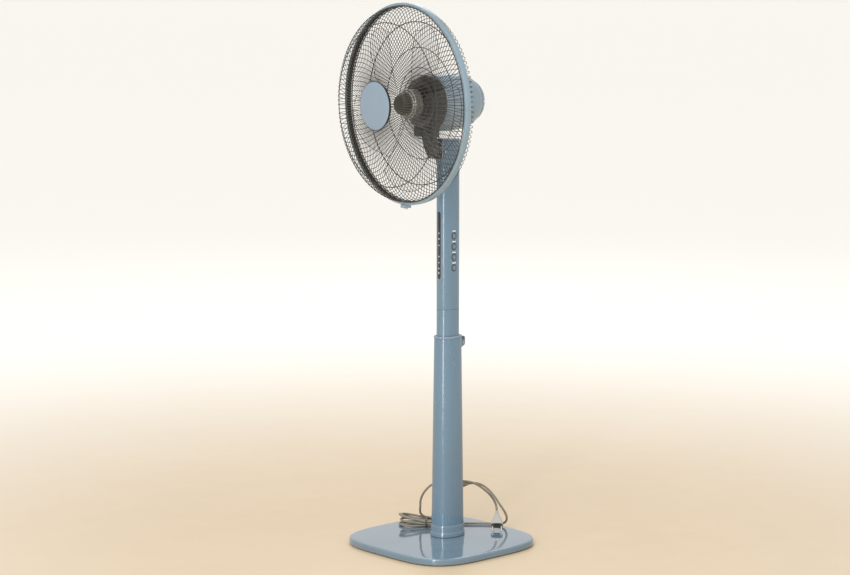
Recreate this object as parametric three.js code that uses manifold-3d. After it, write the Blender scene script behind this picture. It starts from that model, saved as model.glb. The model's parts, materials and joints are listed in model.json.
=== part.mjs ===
// Pedestal fan: weighted base, telescopic oval pole with controls, swivelling and tilting head with guards.
// Millimetres, +Z up, the fan faces -Y. The origin is on the floor under the pole's axis.
import * as THREE from 'three';
import { mergeVertices } from 'three/addons/utils/BufferGeometryUtils.js';
import Module from 'manifold-3d';

const wasm = await Module();
wasm.setup();

// ---- Driving dimensions ----
const GAP = 0.3; // between touching pieces

const BASE_HALF = 176.5; // half the side of the rounded square base
const BASE_POWER = 3.8; // roundness of its outline
const BASE_CENTRE_Y = -19; // the pole stands behind the base's centre
const BASE_RIM = 16.6; // height of the base's edge
const BASE_TOP = 18; // height of its slightly domed middle

const OVAL_POWER = 2.3; // roundness of the pole's section
const POLE_FOOT = [30.5, 38.5]; // half width and half depth of the lower pole at the base
const POLE_HEAD = [25.5, 32.5]; // and at its rim
const POLE_TOP = 470;
const MAST = [20, 27.5]; // half width and half depth of the sliding mast
const MAST_FOOT = 130;
const SEAM = 534.5; // where the mast's tube meets the control housing
const MAST_TOP = 858;
const WALL = 2.5;

const STRIP = { low: 604, high: 754, width: 10 }; // the dark window on the mast's front
const BUTTONS = { first: 699.5, pitch: 23.75, count: 4, width: 11, height: 13, travel: 1.5 };

const NECK_TOP = 914.4;
const TILT_Y = -20; // the tilt pin, ahead of the pole's axis
const TILT_Z = 888;

const HEAD_Z = 996; // height of the fan's axis
const HEAD_TURN = THREE.MathUtils.degToRad(-5); // the head rests a little towards its right
const MOTOR_RADIUS = 63;
const COVER_SEAM = 50; // where the motor's front and rear covers meet, ahead of the pole's axis
const VENTS = 8; // slots round the back of the motor

const RING_RADIUS = 220; // outside of the band that joins the two guards
const RING_REAR = 109.5; // all distances along the fan's axis are ahead of the pole's axis
const RING_FRONT = 122.5;
const BADGE_RADIUS = 53.5;
const GUARD_WIRES = 12;
const WIRE = 3; // thickness of a guard wire

const BLADES = 5;
const BLADE_TIP = 190;
const HUB_RADIUS = 33;

const CORD = 5; // diameter of the mains lead
const GLAND_Z = 125;

// ---- Materials: colour, roughness, metalness ----
const shell = [0x8496a4, 0.35, 0.0];
const dark = [0x2b2a28, 0.5, 0.0];
const wire = [0x77746f, 0.4, 0.6];
const steel = [0xb4b6b8, 0.35, 1.0];
const iron = [0x55585a, 0.7, 0.8];
const rubber = [0x222222, 0.9, 0.0];
const clear = [0x9aa0a4, 0.15, 0.0];
const lead = [0x9a9484, 0.6, 0.0];
const pale = [0xb9bab6, 0.5, 0.0];
const board = [0x2f6b45, 0.6, 0.0];

// ---- Geometry helpers ----
function closed(geometry) {
  geometry.deleteAttribute('normal');
  geometry.deleteAttribute('uv');
  return mergeVertices(geometry, 1e-4);
}

function signedVolume(geometry) {
  const position = geometry.attributes.position;
  const index = geometry.index.array;
  const [a, b, c] = [new THREE.Vector3(), new THREE.Vector3(), new THREE.Vector3()];
  let sum = 0;
  for (let i = 0; i < index.length; i += 3) {
    a.fromBufferAttribute(position, index[i]);
    b.fromBufferAttribute(position, index[i + 1]);
    c.fromBufferAttribute(position, index[i + 2]);
    sum += a.dot(b.cross(c));
  }
  return sum / 6;
}

function facingOut(geometry) {
  const solid = closed(geometry);
  if (signedVolume(solid) < 0) {
    const index = solid.index.array;
    for (let i = 0; i < index.length; i += 3) {
      [index[i], index[i + 1]] = [index[i + 1], index[i]];
    }
  }
  return solid;
}

function toManifold(geometry) {
  const solid = facingOut(geometry);
  return new wasm.Manifold(new wasm.Mesh({
    numProp: 3,
    vertProperties: new Float32Array(solid.attributes.position.array),
    triVerts: new Uint32Array(solid.index.array),
  }));
}

function fromManifold(solid) {
  const mesh = solid.getMesh();
  const geometry = new THREE.BufferGeometry();
  geometry.setAttribute('position', new THREE.BufferAttribute(new Float32Array(mesh.vertProperties), 3));
  geometry.setIndex(new THREE.BufferAttribute(new Uint32Array(mesh.triVerts), 1));
  return geometry;
}

function combine(method, first, others) {
  const solid = others.reduce((sum, other) => sum[method](toManifold(other)), toManifold(first));
  return fromManifold(solid);
}

const cut = (first, ...others) => combine('subtract', first, others);
const join = (first, ...others) => combine('add', first, others);
const overlap = (first, ...others) => combine('intersect', first, others);

function box(low, high) {
  const [w, d, h] = high.map((value, i) => value - low[i]);
  const geometry = new THREE.BoxGeometry(w, d, h);
  return geometry.translate((low[0] + high[0]) / 2, (low[1] + high[1]) / 2, (low[2] + high[2]) / 2);
}

// A round bar from one height to another, standing on +Z.
function rod(radius, low, high, sides = 24) {
  const geometry = new THREE.CylinderGeometry(radius, radius, high - low, sides);
  return geometry.rotateX(Math.PI / 2).translate(0, 0, (low + high) / 2);
}

// The same bar lying along X.
function crossRod(radius, half, y, z, sides = 20) {
  const geometry = new THREE.CylinderGeometry(radius, radius, 2 * half, sides);
  return geometry.rotateZ(Math.PI / 2).translate(0, y, z);
}

// A profile that doesn't start on the axis is a ring, so it closes on itself.
const ringed = (profile) => (profile[0][0] > 0 ? [...profile, profile[0]] : profile);

// A profile of [radius, height] points turned round +Z.
function turned(profile, segments = 24) {
  const points = ringed(profile).map(([r, z]) => new THREE.Vector2(r, z));
  return new THREE.LatheGeometry(points, segments).rotateX(Math.PI / 2);
}

// A profile of [radius, distance ahead] points turned round the fan's axis, in the head's own frame.
function ahead(profile, segments = 28) {
  const points = ringed(profile).map(([r, y]) => new THREE.Vector2(r, -y));
  return new THREE.LatheGeometry(points, segments);
}

// One superellipse outline with its half width, half depth, power, centre and height.
function outline({ a, b, power = OVAL_POWER, y = 0, z }, count) {
  const points = [];
  for (let i = 0; i < count; i++) {
    const angle = (i / count) * 2 * Math.PI;
    const [c, s] = [Math.cos(angle), Math.sin(angle)];
    points.push([
      a * Math.sign(c) * Math.abs(c) ** (2 / power),
      y + b * Math.sign(s) * Math.abs(s) ** (2 / power),
      z,
    ]);
  }
  return points;
}

// A closed solid through a stack of outlines, from the lowest up.
function loft(rings, count = 28) {
  const points = rings.flatMap((ring) => outline(ring, count));
  const index = [];
  for (let k = 0; k + 1 < rings.length; k++) {
    for (let i = 0; i < count; i++) {
      const j = (i + 1) % count;
      const [p, q, r, s] = [k * count + i, k * count + j, (k + 1) * count + i, (k + 1) * count + j];
      index.push(p, q, s, p, s, r);
    }
  }
  for (const [ring, at] of [[rings[0], 0], [rings.at(-1), (rings.length - 1) * count]]) {
    const centre = points.length;
    points.push([0, ring.y ?? 0, ring.z]);
    for (let i = 0; i < count; i++) {
      const [p, q] = [at + i, at + ((i + 1) % count)];
      index.push(...(at === 0 ? [centre, q, p] : [centre, p, q]));
    }
  }
  const geometry = new THREE.BufferGeometry();
  geometry.setAttribute('position', new THREE.Float32BufferAttribute(points.flat(), 3));
  geometry.setIndex(index);
  return geometry;
}

const oval = ([a, b], low, high, grow = 0) => loft([
  { a: a + grow, b: b + grow, z: low },
  { a: a + grow, b: b + grow, z: high },
]);

// A bar of round section along a curve through points.
function tube(points, radius, steps, sides = 8, round = true) {
  const places = points.map((p) => new THREE.Vector3(...p));
  const curve = new THREE.CatmullRomCurve3(places, false, 'centripetal');
  const section = new THREE.Shape();
  const turn = round ? 0 : Math.PI / sides;
  for (let i = 0; i < sides; i++) {
    const angle = turn + (i / sides) * 2 * Math.PI;
    const move = i === 0 ? 'moveTo' : 'lineTo';
    section[move](radius * Math.cos(angle), radius * Math.sin(angle));
  }
  section.closePath();
  return new THREE.ExtrudeGeometry(section, { steps, extrudePath: curve, curveSegments: 1 });
}

// An upright outline of [y, z] points given a width along X.
function slab(points, halfWidth) {
  const shape = new THREE.Shape(points.map(([y, z]) => new THREE.Vector2(y, z)));
  const geometry = new THREE.ExtrudeGeometry(shape, { depth: 2 * halfWidth, bevelEnabled: false });
  geometry.applyMatrix4(new THREE.Matrix4().makeBasis(
    new THREE.Vector3(0, 1, 0), new THREE.Vector3(0, 0, 1), new THREE.Vector3(1, 0, 0),
  ));
  return geometry.translate(-halfWidth, 0, 0);
}

// An ellipse or stadium in the XZ plane of a given half width and half height, run along Y or X.
function pill(halfWidth, halfHeight, low, high, z, alongX = false) {
  const shape = new THREE.Shape();
  const straight = halfHeight - halfWidth;
  shape.absarc(0, straight, halfWidth, 0, Math.PI, false);
  shape.absarc(0, -straight, halfWidth, Math.PI, 2 * Math.PI, false);
  shape.closePath();
  const depth = high - low;
  const geometry = new THREE.ExtrudeGeometry(shape, { depth, bevelEnabled: false, curveSegments: 5 });
  geometry.rotateX(Math.PI / 2).translate(0, high, z);
  return alongX ? geometry.rotateZ(-Math.PI / 2) : geometry;
}

const fan = new THREE.Group();
const head = new THREE.Group();
head.rotation.z = HEAD_TURN;
fan.add(head);

function piece(name, geometry, [color, roughness, metalness], parent = fan) {
  const material = new THREE.MeshStandardMaterial({ color, roughness, metalness });
  const mesh = new THREE.Mesh(facingOut(geometry), material);
  mesh.name = name;
  parent.add(mesh);
  return mesh;
}

// ---- Base ----
const baseRing = (shrink, z) => ({
  a: BASE_HALF - shrink, b: BASE_HALF - shrink, power: BASE_POWER, y: BASE_CENTRE_Y, z,
});

function makeBase() {
  const rings = [[0, 2], [0, 13], [1.5, 15.6], [5, BASE_RIM], [60, 17.5], [120, BASE_TOP]];
  const cover = loft(rings.map(([shrink, z]) => baseRing(shrink, z)), 48);
  const hollow = loft([[4, 1], [4, 11]].map(([shrink, z]) => baseRing(shrink, z)), 48);
  piece('base_cover', cut(cover, hollow, rod(4.5, 0, 30)), shell);
  const plate = loft([[12, 3], [12, 10.5]].map(([shrink, z]) => baseRing(shrink, z)), 32);
  piece('base_weight', cut(plate, rod(11, 0, 20)), iron);
  const reach = 118;
  let number = 0;
  for (const x of [-reach, reach]) {
    for (const y of [BASE_CENTRE_Y - reach, BASE_CENTRE_Y + reach]) {
      number += 1;
      const foot = turned([[0, 0], [10, 0], [12, 1], [12, 3 - GAP], [0, 3 - GAP]], 24);
      piece(`base_foot_${number}`, foot.translate(x, y, 0), rubber);
    }
  }
  piece('pole_bolt', join(rod(9, 3.2, 8.5, 6), rod(4, 8, 32)), steel);
  piece('pole_nut', cut(rod(9, 23.3 + GAP, 30, 6), rod(4 + GAP, 20, 40)), steel);
}

// ---- Lower pole ----
const poleAt = (z, grow = 0) => {
  const t = (z - BASE_TOP) / (POLE_TOP - BASE_TOP);
  return {
    a: THREE.MathUtils.lerp(POLE_FOOT[0], POLE_HEAD[0], t) + grow,
    b: THREE.MathUtils.lerp(POLE_FOOT[1], POLE_HEAD[1], t) + grow,
    z,
  };
};

const LEVER = { y: 38.5, z: 455, half: 7 };

function makeLowerPole() {
  const foot = BASE_TOP + GAP;
  const outside = loft([foot, 240, POLE_TOP].map((z) => poleAt(z)));
  const inside = loft([23.3, 240, POLE_TOP + 5].map((z) => poleAt(z, -WALL)));
  const cordHole = rod(4, 0, 40).rotateX(-Math.PI / 2).translate(0, 10, GLAND_Z);
  const latchHole = box([-4, 20, LEVER.z + 0.5], [4, 40, LEVER.z + 11]);
  piece('lower_pole', cut(outside, inside, rod(4.5, 10, 30), cordHole, latchHole), shell);
  const collar = loft([
    poleAt(foot, 2.4), poleAt(26, 2.4), poleAt(29, 1.7), poleAt(42, 1.7), poleAt(45.6, 1),
  ]);
  piece('pole_collar', cut(collar, loft([10, 50].map((z) => poleAt(z, GAP)))), shell);
  const rim = loft([poleAt(POLE_TOP - 14, -WALL - GAP), poleAt(POLE_TOP + GAP, -WALL - GAP)]);
  const lip = loft([
    { ...poleAt(POLE_TOP, 1), z: POLE_TOP + GAP }, { ...poleAt(POLE_TOP, 1), z: 473 },
    { ...poleAt(POLE_TOP, -0.5), z: 474.6 },
  ]);
  const catchWay = box([-4, 10, POLE_TOP - 15], [4, 40, POLE_TOP - 3]);
  piece('pole_bush', cut(join(rim, lip), oval(MAST, 400, 500, 0.5), catchWay), shell);
}

function makeHeightLever() {
  const { y, z, half } = LEVER;
  const wallY = poleAt(z).b + GAP;
  const cheek = (x) => box([x - 1.5, wallY, z - 7], [x + 1.5, y + 5, z + 5]);
  const bridge = box([-half - 4, wallY, z - 10], [half + 4, wallY + 2, z - 6]);
  const pinHole = crossRod(1.8, 20, y, z);
  piece('lever_bracket', cut(join(bridge, cheek(-half - 2.5), cheek(half + 2.5)), pinHole), shell);
  piece('lever_pin', crossRod(1.5, half + 4, y, z, 16), steel);
  const profile = [
    [y - 3.2, z - 3], [y + 2, z - 4.5], [y + 6, z - 3.5], [y + 8.8, z + 1], [y + 9.4, z + 8],
    [y + 7.4, z + 13], [y + 5.8, z + 12], [y + 6.8, z + 7.5], [y + 5, z + 4], [y + 1, z + 4.5],
    [y - 3.2, z + 4.5],
  ];
  const latch = box([-3, 29.4, z + 4.3], [3, y, z + 8]);
  piece('height_lever', cut(join(slab(profile, half - 0.8), latch), pinHole), shell);
}

// ---- Mast ----
const buttonHeight = (i) => BUTTONS.first - i * BUTTONS.pitch;

function makeMast() {
  const hollow = oval(MAST, 0, 1000, -WALL);
  piece('slide_pole', cut(oval(MAST, MAST_FOOT, SEAM), hollow), shell);
  const stripMiddle = (STRIP.low + STRIP.high) / 2;
  const stripHalf = (STRIP.high - STRIP.low) / 2;
  const windowHole = pill(STRIP.width / 2 + GAP, stripHalf + GAP, -60, -10, stripMiddle);
  const buttonHoles = [];
  for (let i = 0; i < BUTTONS.count; i++) {
    const [w, h] = [BUTTONS.width / 2 + GAP, BUTTONS.height / 2 + GAP];
    buttonHoles.push(pill(w, h, 10, 60, buttonHeight(i), true));
  }
  const housing = oval(MAST, SEAM + GAP, MAST_TOP);
  const inside = oval(MAST, SEAM - 1, MAST_TOP - WALL, -WALL);
  const shaftHole = rod(6 + GAP, MAST_TOP - 10, MAST_TOP + 5);
  piece('control_housing', cut(housing, inside, shaftHole, windowHole, ...buttonHoles), shell);
  const skin = cut(oval(MAST, 590, 770), oval(MAST, 580, 780, -WALL));
  const pane = pill(STRIP.width / 2, stripHalf, -60, -10, stripMiddle);
  piece('display_window', overlap(skin, pane), dark);
  for (let i = 0; i < BUTTONS.count; i++) {
    const body = cut(oval(MAST, 600, 730, 0.9), oval(MAST, 590, 740, -WALL));
    const prism = pill(BUTTONS.width / 2, BUTTONS.height / 2, 10, 60, buttonHeight(i), true);
    piece(`button_${i + 1}`, overlap(body, prism), shell);
  }
}

function makeControls() {
  const face = MAST[0] - WALL - BUTTONS.travel - 1.2; // the switch caps stop this side of the buttons
  const plate = box([8, -12, 610], [9.6, 12, 725]);
  const caps = [];
  for (let i = 0; i < BUTTONS.count; i++) {
    caps.push(box([9.4, -3, buttonHeight(i) - 3], [face, 3, buttonHeight(i) + 3]));
  }
  piece('control_board', join(plate, ...caps), board);
  piece('lamp_board', box([-6, -23.2, 600], [6, -21.8, 758]), board);
  const clip = (z) => box([-15, -3, z], [7.7, 3, z + 2]);
  piece('board_bracket', join(box([-15.9, -9, 600], [-14.3, 9, 735]), clip(601), clip(730)), pale);
}

function makeSwivel() {
  const shaft = turned([
    [0, 843], [11, 843], [11, MAST_TOP - WALL - GAP], [6, MAST_TOP - WALL - GAP], [6, 902], [0, 902],
  ], 32);
  piece('swivel_shaft', shaft, steel);
}

// ---- Neck ----
function makeNeck() {
  const foot = MAST_TOP + 0.6;
  const grow = (z, front) => ({ a: MAST[0] + 0.6, b: MAST[1] + front / 2, y: -front / 2, z });
  const outside = loft([grow(foot, 1), grow(875, 3), grow(NECK_TOP - 4, 4),
    { ...grow(NECK_TOP, 4), a: MAST[0] - 1.5, b: MAST[1] }]);
  const inside = loft([{ a: 17.5, b: 24.5, z: foot + 4 }, { a: 17.5, b: 24.5, z: NECK_TOP - 3 }]);
  const slot = box([-12, -60, 873], [12, -10, NECK_TOP + 5]);
  const pinHole = crossRod(3.3, 40, TILT_Y, TILT_Z);
  const drain = (x) => box([x - 1.4, -60, 862], [x + 1.4, -25, 868]);
  const shaftHole = rod(6 + GAP, 850, 870);
  const shaped = cut(outside, inside, slot, pinHole, shaftHole, drain(-3.5), drain(3.5));
  piece('neck_housing', shaped, shell, head);
  const gearbox = turned([[6.4, 864], [14, 864], [14, 875], [6.4, 875]], 32);
  piece('oscillation_motor', gearbox, pale, head);
  piece('tilt_pin', crossRod(3, 18, TILT_Y, TILT_Z), steel, head);
  const cap = turned([[6.4, 884], [10, 884], [10, 889], [6.4, 889]], 24);
  piece('swivel_ring', cap, steel, head);
}

// ---- Head ----
function makeTiltBracket() {
  const tongue = slab([
    [-11.5, 882], [-14, 878], [-26, 876], [-40, 878], [-60, 906], [-58, 921.5], [-44, 921.5], [-32, 902],
    [-14, 898], [-11.5, 894],
  ], 10);
  const chin = slab([[-33.5, 882], [-36, 874], [-42, 872], [-56, 900], [-60, 921.5], [-44, 921.5]], 17.7);
  const pinHole = crossRod(3 + GAP, 30, TILT_Y, TILT_Z);
  piece('tilt_bracket', cut(join(tongue, chin), pinHole), dark, head);
}

const onAxis = (geometry) => geometry.translate(0, 0, HEAD_Z);

function makeMotor() {
  const nose = ahead([
    [9, 84], [25, 84], [25, 78], [46, 76], [57, 70], [61, 62], [61, COVER_SEAM + GAP], [58, COVER_SEAM + GAP],
    [58, 59], [54, 67], [44, 72], [9, 73],
  ]);
  const chin = box([-34, -69, 921.5 + GAP - HEAD_Z], [34, -COVER_SEAM - GAP, -50]);
  const hollow = ahead([[0, 30], [58, 30], [58, 59], [54, 67], [44, 72], [0, 73]]);
  piece('motor_front_cover', onAxis(cut(join(nose, chin), hollow)), dark, head);
  const outer = [
    [61, COVER_SEAM], [MOTOR_RADIUS, COVER_SEAM - 2], [MOTOR_RADIUS + 1, 5], [61, -32], [55, -48],
    [49.5, -56],
  ];
  const dome = [[46.5, -57.5], [44.5, -66], [38, -73.5], [22, -78], [0, -79.5]];
  const inner = [[0, -76.5], [21, -75.2], [35.5, -71], [41.5, -64.5], [43.5, -55.5], [51, -46], [56, -31]];
  const back = ahead([...outer, ...dome, ...inner, [60, 5], [58, COVER_SEAM - 4], [58, COVER_SEAM]]);
  const vents = [];
  for (let i = 0; i < VENTS; i++) {
    const slot = box([-1.2, 62, 30], [1.2, 80, 50]);
    vents.push(slot.rotateY((i / VENTS) * 2 * Math.PI));
  }
  piece('motor_rear_cover', onAxis(cut(back, ...vents)), shell, head);
  const stator = ahead([[27, 30], [50, 30], [50, -30], [27, -30]], 32);
  piece('motor_stator', onAxis(stator), iron, head);
  const frontBearing = ahead([[4.3, 68], [8.7, 68], [8.7, 84], [4.3, 84]], 24);
  piece('front_bearing', onAxis(frontBearing), steel, head);
  const rearBearing = ahead([[4.3, -42], [20, -42], [20, -34], [4.3, -34]], 24);
  piece('rear_bearing', onAxis(rearBearing), steel, head);
  const spokes = [0, 1, 2].map((i) => box([-4, 34, 21], [4, 42, 51.2]).rotateY((i / 3) * 2 * Math.PI));
  const holder = ahead([[20.3, -42], [26, -42], [26, -34], [20.3, -34]], 32);
  piece('bearing_holder', onAxis(join(holder, ...spokes)), iron, head);
}

// The wires' path in [radius, distance ahead] on each side of the band.
const FRONT_WIRE = [
  [213, 123.5], [212, 133], [207, 146], [195, 158.5], [170, 174], [122, 189], [75, 196.5], [50, 197.5],
];
const REAR_WIRE = [
  [213, 108.5], [211.5, 98], [204, 90], [180, 84], [130, 76], [90, 73], [50, 78.5],
];

function guardWires(path, rings) {
  const radial = (i) => {
    const points = path.map(([r, y]) => [r, -y, 0]);
    const bar = tube(points, WIRE / Math.SQRT2, 6, 4, false);
    return bar.rotateY((i / GUARD_WIRES) * 2 * Math.PI);
  };
  const half = WIRE / 2;
  const hoop = ([r, y]) => ahead([
    [r - half, y - half], [r + half, y - half], [r + half, y + half], [r - half, y + half],
  ], 32);
  const bars = Array.from({ length: GUARD_WIRES }, (_, i) => radial(i));
  return [...rings.map(hoop), ...bars];
}

function makeGuards() {
  const hubDisc = ahead([[26.5, 78 + GAP], [50, 78 + GAP], [52, 76], [52, 80.5], [26.5, 80.5]], 28);
  const rear = guardWires(REAR_WIRE, [[212, 110 - WIRE], [178, 83.5]]);
  piece('rear_guard', onAxis(join(hubDisc, ...rear)), wire, head);
  const nut = ahead([[25.6, 80.8], [40, 80.8], [40, 88], [25.6, 88]], 24);
  piece('guard_nut', onAxis(nut), dark, head);
  const collar = ahead([[40, 194], [51, 194], [51, 199], [40, 199]], 28);
  const front = guardWires(FRONT_WIRE, [[211.5, 125], [178, 169.5]]);
  piece('front_guard', onAxis(join(collar, ...front)), wire, head);
  const band = ahead([
    [RING_RADIUS, RING_REAR], [RING_RADIUS, RING_FRONT], [RING_RADIUS - 6.5, RING_FRONT],
    [RING_RADIUS - 6.5, RING_FRONT - 2], [RING_RADIUS - 2.5, RING_FRONT - 2],
    [RING_RADIUS - 2.5, RING_REAR + 2], [RING_RADIUS - 6.5, RING_REAR + 2],
    [RING_RADIUS - 6.5, RING_REAR],
  ], 48);
  piece('guard_ring', onAxis(band), shell, head);
  const badge = ahead([
    [0, 199.3], [BADGE_RADIUS - 1, 199.3], [BADGE_RADIUS, 200.5], [BADGE_RADIUS - 1, 201.8],
    [38, 203.2], [0, 204],
  ]);
  piece('guard_badge', onAxis(badge), shell, head);
}

function makeGuardClip() {
  const low = -RING_RADIUS - 7;
  const block = box([-8, -RING_FRONT - 3, low], [8, -RING_REAR + 1, -RING_RADIUS + 4]);
  const band = ahead([
    [RING_RADIUS + GAP, 90], [RING_RADIUS + GAP, 140], [190, 140], [190, 90],
  ], 48);
  const hole = rod(2.2, low - 5, low + 3).translate(0, -116, 0);
  piece('guard_clip', onAxis(cut(block, band, hole)), shell, head);
  const screw = turned([[0, -2.6], [3.5, -2.6], [4, -1.2], [4, 0], [1.8, 0], [1.8, 2.4], [0, 2.4]], 20);
  piece('guard_clip_screw', onAxis(screw.translate(0, -116, low - GAP)), steel, head);
}

// ---- Rotor ----
function bladeGeometry() {
  // The blade is a curved plate: its chord, sweep and pitch change from the hub to the tip.
  const [along, across] = [6, 4];
  const thickness = 1.1;
  const points = [];
  for (const side of [0, 1]) {
    for (let i = 0; i <= along; i++) {
      const t = i / along;
      const radius = THREE.MathUtils.lerp(HUB_RADIUS - 3, BLADE_TIP, t);
      const half = THREE.MathUtils.degToRad(21 + 7 * Math.sin(t * Math.PI * 0.8));
      const sweep = THREE.MathUtils.degToRad(-14 * t);
      const rise = THREE.MathUtils.lerp(10, 21, Math.sqrt(t));
      for (let j = 0; j <= across; j++) {
        const s = (j / across) * 2 - 1;
        const corner = 1 - 0.16 * Math.max(0, t - 0.8) * 5 * s * s;
        const angle = sweep + half * s;
        const depth = rise * s - 5 * (1 - s * s) + (side ? thickness : 0);
        points.push([radius * corner * Math.cos(angle), -113 + depth, radius * corner * Math.sin(angle)]);
      }
    }
  }
  const row = across + 1;
  const layer = row * (along + 1);
  const at = (side, i, j) => side * layer + i * row + j;
  const index = [];
  const quad = (a, b, c, d) => index.push(a, b, c, a, c, d);
  for (let i = 0; i < along; i++) {
    for (let j = 0; j < across; j++) {
      quad(at(0, i, j), at(0, i + 1, j), at(0, i + 1, j + 1), at(0, i, j + 1));
      quad(at(1, i, j), at(1, i, j + 1), at(1, i + 1, j + 1), at(1, i + 1, j));
    }
    quad(at(0, i, 0), at(1, i, 0), at(1, i + 1, 0), at(0, i + 1, 0));
    quad(at(0, i, across), at(0, i + 1, across), at(1, i + 1, across), at(1, i, across));
  }
  for (let j = 0; j < across; j++) {
    quad(at(0, 0, j), at(0, 0, j + 1), at(1, 0, j + 1), at(1, 0, j));
    quad(at(0, along, j), at(1, along, j), at(1, along, j + 1), at(0, along, j + 1));
  }
  const geometry = new THREE.BufferGeometry();
  geometry.setAttribute('position', new THREE.Float32BufferAttribute(points.flat(), 3));
  geometry.setIndex(index);
  return geometry;
}

function makeRotor() {
  const shaft = ahead([[0, -46], [4, -46], [4, 124], [0, 124]], 20);
  piece('motor_shaft', onAxis(shaft), steel, head);
  const core = ahead([[4.3, -28], [26.4, -28], [26.4, 28], [4.3, 28]], 32);
  piece('motor_rotor', onAxis(core), iron, head);
  const hub = ahead([
    [4.3, 118], [HUB_RADIUS - 6, 118], [HUB_RADIUS, 112], [HUB_RADIUS, 93], [HUB_RADIUS - 3, 93],
    [HUB_RADIUS - 3, 110], [12, 112], [12, 93], [4.3, 93],
  ], 28);
  const blades = [];
  for (let i = 0; i < BLADES; i++) {
    blades.push(bladeGeometry().rotateY((i / BLADES) * 2 * Math.PI));
  }
  const bore = ahead([[0, 80], [HUB_RADIUS - 3.2, 80], [HUB_RADIUS - 3.2, 109], [0, 109]], 28);
  const roots = cut(join(blades[0], ...blades.slice(1)), bore);
  piece('fan_blade', onAxis(join(hub, roots)), clear, head);
  const spinner = ahead([
    [4.3, 118 + GAP], [22.5, 118 + GAP], [22.5, 130], [20, 136], [12.5, 139], [0, 140], [0, 126],
    [4.3, 126],
  ], 32);
  piece('spinner', onAxis(spinner), dark, head);
}

// ---- Mains lead ----
// From the gland behind the pole, down to the base and along it to the hank.
const TAIL_ROUTE = [
  [0, 61.3, 125], [0, 71.8, 125], [0, 85.6, 123.5], [3, 101.9, 118],
  [10.4, 117, 106], [20, 128.6, 88], [29, 136.5, 69.5], [35, 144.5, 55],
  [37.2, 150.5, 41], [33, 153.2, 29.5], [23.5, 152, 22.3], [11.5, 145.5, 20.4],
  [0, 136, 20.2], [-11, 125.5, 20.3], [-22.6, 113, 20.5], [-34.8, 98.4, 20.6],
  [-47.8, 82.6, 20.8], [-59.4, 67.4, 21.6], [-68.8, 55.4, 23],
];
// From the tied hank, up over the gland and down to the plug.
const LEAD_ROUTE = [
  [-105.1, 17.1, 44.6], [-105.8, 16.3, 52], [-106.5, 14.2, 62], [-103.6, 11.4, 76],
  [-95.1, 10.2, 92], [-80.9, 10.6, 108], [-64.7, 13.2, 121], [-47.2, 18.6, 128.5],
  [-30.8, 26.4, 132], [-16, 37.2, 132.8], [-3.1, 51.2, 132.4], [4.9, 68.4, 129],
  [9, 87.9, 119], [10.6, 108.5, 104], [9.6, 125, 90.5], [9.4, 136.6, 77],
  [11.6, 141.6, 64], [17, 138.3, 51.8],
];
const HANK = { x: -105.1, y: 17.1, low: 19.6, high: 44, half: 52, halfWidth: 22 };
const LIE = THREE.MathUtils.degToRad(46.5); // the hank and the plug lie at this angle
const PLUG = { x: 60.4, y: 97, z: 19.7, tilt: THREE.MathUtils.degToRad(28), pin: 19, body: 34, tail: 48 };

function makeGland() {
  const wallY = poleAt(GLAND_Z).b;
  const gland = new THREE.CylinderGeometry(6, 3.4, 24, 16).rotateX(Math.PI).translate(0, wallY + 12.4, 0);
  const hole = new THREE.CylinderGeometry(CORD / 2 + GAP, CORD / 2 + GAP, 90, 16).translate(0, wallY, 0);
  piece('cord_gland', cut(gland, hole).translate(0, 0, GLAND_Z), lead);
}

function makeHank() {
  const { low, high, half, halfWidth } = HANK;
  const lying = new THREE.Group();
  lying.position.set(HANK.x, HANK.y, 0);
  lying.rotation.z = LIE;
  fan.add(lying);
  const shape = new THREE.Shape();
  const straight = half - halfWidth;
  shape.absarc(straight, 0, halfWidth, -Math.PI / 2, Math.PI / 2, false);
  shape.absarc(-straight, 0, halfWidth, Math.PI / 2, 1.5 * Math.PI, false);
  shape.closePath();
  const settings = { depth: high - low, bevelEnabled: false, curveSegments: 8 };
  piece('cord_hank', new THREE.ExtrudeGeometry(shape, settings).translate(0, 0, low), lead, lying);
  const [w, t] = [halfWidth + GAP, 1];
  const band = box([8, -w - t, low - GAP - t], [14, w + t, high + GAP + t]);
  piece('cord_tie', cut(band, box([0, -w, low - GAP], [20, w, high + GAP])), dark, lying);
}

function makePlug() {
  const plug = new THREE.Group();
  plug.position.set(PLUG.x, PLUG.y, PLUG.z);
  plug.rotation.order = 'ZXY';
  plug.rotation.z = LIE;
  plug.rotation.x = PLUG.tilt;
  fan.add(plug);
  const face = PLUG.pin;
  const ring = (a, b, z) => ({ a, b, power: 3, z });
  const body = loft([
    ring(13.5, 7, face), ring(13.5, 7, face + 8), ring(9, 6.5, face + 26), ring(6.5, 5.5, face + PLUG.body),
    ring(3.6, 3.6, face + PLUG.tail),
  ], 20);
  // The loft stands on +Z, and the plug's own length runs along +Y.
  const layDown = (geometry) => geometry.rotateX(-Math.PI / 2);
  const bore = rod(CORD / 2 + GAP, face + PLUG.body, face + PLUG.tail + 2, 12);
  const pins = [-9.5, 9.5].map((x) => rod(2.3, -5, face + 10, 16).translate(x, 0, 0));
  piece('plug_body', layDown(cut(body, bore, ...pins)), pale, plug);
  [-9.5, 9.5].forEach((x, i) => {
    const pin = turned([[0, 0], [1.4, 0], [2, 0.8], [2, face + 9], [0, face + 9]], 16);
    piece(`plug_pin_${i + 1}`, layDown(pin.translate(x, 0, 0)), steel, plug);
  });
}

function makeCord() {
  makeGland();
  makeHank();
  makePlug();
  piece('cord_tail', tube(TAIL_ROUTE, CORD / 2, 28), lead);
  piece('cord_lead', tube(LEAD_ROUTE, CORD / 2, 28), lead);
}

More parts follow.
